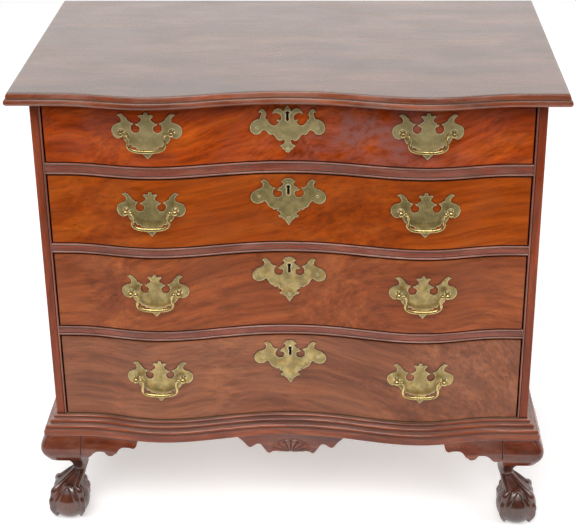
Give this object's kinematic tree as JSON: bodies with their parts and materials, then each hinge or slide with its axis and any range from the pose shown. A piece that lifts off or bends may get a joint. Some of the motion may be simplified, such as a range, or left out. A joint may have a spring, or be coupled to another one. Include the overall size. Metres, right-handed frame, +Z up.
{
  "type": "oxbow chest of drawers",
  "caption": "Oxbow-fronted chest of drawers: moulded top, graduated drawers with brass bail pulls and locks, moulded base, shell pendant and claw-and-ball feet.",
  "frame": {"origin": "on the floor, under the middle of the whole chest", "axes": "+X across the chest to the viewer's right, +Y from the front to the back, +Z up"},
  "size_m": [0.94, 0.574, 0.8659],
  "materials": {
    "mahogany": "polished, reddish brown",
    "foot_mahogany": "polished, dark from handling",
    "pine": "bare, aged",
    "brass": "aged, worn bright at the edges",
    "iron": "dull, dark"
  },
  "bodies": {
    "case": {"top": "mahogany", "side_left": "mahogany", "side_right": "mahogany", "case_bottom": "pine", "back_panel": "pine", "divider_1": "mahogany", "divider_2": "mahogany", "divider_3": "mahogany", "base_molding": "mahogany", "shell_pendant": "mahogany", "foot_front_left": "foot_mahogany", "foot_front_right": "foot_mahogany", "foot_rear_left": "foot_mahogany", "foot_rear_right": "foot_mahogany", "bracket_front_left": "mahogany", "bracket_front_right": "mahogany", "bracket_side_left": "mahogany", "bracket_side_right": "mahogany", "bracket_rear_left": "mahogany", "bracket_rear_right": "mahogany"},
    "drawer_1": {"drawer_1_front": "mahogany", "drawer_1_box": "pine", "drawer_1_bottom": "pine", "lock_1": "iron", "escutcheon_1": "brass", "pull_plate_1_left": "brass", "pull_plate_1_right": "brass"},
    "bolt_1": {"lock_bolt_1": "iron"},
    "bail_1_left": {"bail_1_left": "brass"},
    "bail_1_right": {"bail_1_right": "brass"},
    "drawer_2": {"drawer_2_front": "mahogany", "drawer_2_box": "pine", "drawer_2_bottom": "pine", "lock_2": "iron", "escutcheon_2": "brass", "pull_plate_2_left": "brass", "pull_plate_2_right": "brass"},
    "bolt_2": {"lock_bolt_2": "iron"},
    "bail_2_left": {"bail_2_left": "brass"},
    "bail_2_right": {"bail_2_right": "brass"},
    "drawer_3": {"drawer_3_front": "mahogany", "drawer_3_box": "pine", "drawer_3_bottom": "pine", "lock_3": "iron", "escutcheon_3": "brass", "pull_plate_3_left": "brass", "pull_plate_3_right": "brass"},
    "bolt_3": {"lock_bolt_3": "iron"},
    "bail_3_left": {"bail_3_left": "brass"},
    "bail_3_right": {"bail_3_right": "brass"},
    "drawer_4": {"drawer_4_front": "mahogany", "drawer_4_box": "pine", "drawer_4_bottom": "pine", "lock_4": "iron", "escutcheon_4": "brass", "pull_plate_4_left": "brass", "pull_plate_4_right": "brass"},
    "bolt_4": {"lock_bolt_4": "iron"},
    "bail_4_left": {"bail_4_left": "brass"},
    "bail_4_right": {"bail_4_right": "brass"}
  },
  "joints": [
    {"name": "drawer_1_slide", "type": "slide", "parent": "case", "child": "drawer_1", "axis": [0, -1, 0], "range_m": [0, 0.36]},
    {"name": "bolt_1_throw", "type": "slide", "parent": "drawer_1", "child": "bolt_1", "axis": [0, 0, 1], "range_m": [0, 0.009]},
    {"name": "bail_1_left_swing", "type": "hinge", "parent": "drawer_1", "child": "bail_1_left", "pos_m": [-0.236, -0.25886, 0.79235], "axis": [-1, 0, 0], "range_deg": [-10, 150]},
    {"name": "bail_1_right_swing", "type": "hinge", "parent": "drawer_1", "child": "bail_1_right", "pos_m": [0.236, -0.25886, 0.79235], "axis": [-1, 0, 0], "range_deg": [-10, 150]},
    {"name": "drawer_2_slide", "type": "slide", "parent": "case", "child": "drawer_2", "axis": [0, -1, 0], "range_m": [0, 0.36]},
    {"name": "bolt_2_throw", "type": "slide", "parent": "drawer_2", "child": "bolt_2", "axis": [0, 0, 1], "range_m": [0, 0.009]},
    {"name": "bail_2_left_swing", "type": "hinge", "parent": "drawer_2", "child": "bail_2_left", "pos_m": [-0.236, -0.25886, 0.6478], "axis": [-1, 0, 0], "range_deg": [-10, 150]},
    {"name": "bail_2_right_swing", "type": "hinge", "parent": "drawer_2", "child": "bail_2_right", "pos_m": [0.236, -0.25886, 0.6478], "axis": [-1, 0, 0], "range_deg": [-10, 150]},
    {"name": "drawer_3_slide", "type": "slide", "parent": "case", "child": "drawer_3", "axis": [0, -1, 0], "range_m": [0, 0.36]},
    {"name": "bolt_3_throw", "type": "slide", "parent": "drawer_3", "child": "bolt_3", "axis": [0, 0, 1], "range_m": [0, 0.009]},
    {"name": "bail_3_left_swing", "type": "hinge", "parent": "drawer_3", "child": "bail_3_left", "pos_m": [-0.236, -0.25886, 0.4899], "axis": [-1, 0, 0], "range_deg": [-10, 150]},
    {"name": "bail_3_right_swing", "type": "hinge", "parent": "drawer_3", "child": "bail_3_right", "pos_m": [0.236, -0.25886, 0.4899], "axis": [-1, 0, 0], "range_deg": [-10, 150]},
    {"name": "drawer_4_slide", "type": "slide", "parent": "case", "child": "drawer_4", "axis": [0, -1, 0], "range_m": [0, 0.36]},
    {"name": "bolt_4_throw", "type": "slide", "parent": "drawer_4", "child": "bolt_4", "axis": [0, 0, 1], "range_m": [0, 0.009]},
    {"name": "bail_4_left_swing", "type": "hinge", "parent": "drawer_4", "child": "bail_4_left", "pos_m": [-0.236, -0.25886, 0.31425], "axis": [-1, 0, 0], "range_deg": [-10, 150]},
    {"name": "bail_4_right_swing", "type": "hinge", "parent": "drawer_4", "child": "bail_4_right", "pos_m": [0.236, -0.25886, 0.31425], "axis": [-1, 0, 0], "range_deg": [-10, 150]}
  ]
}
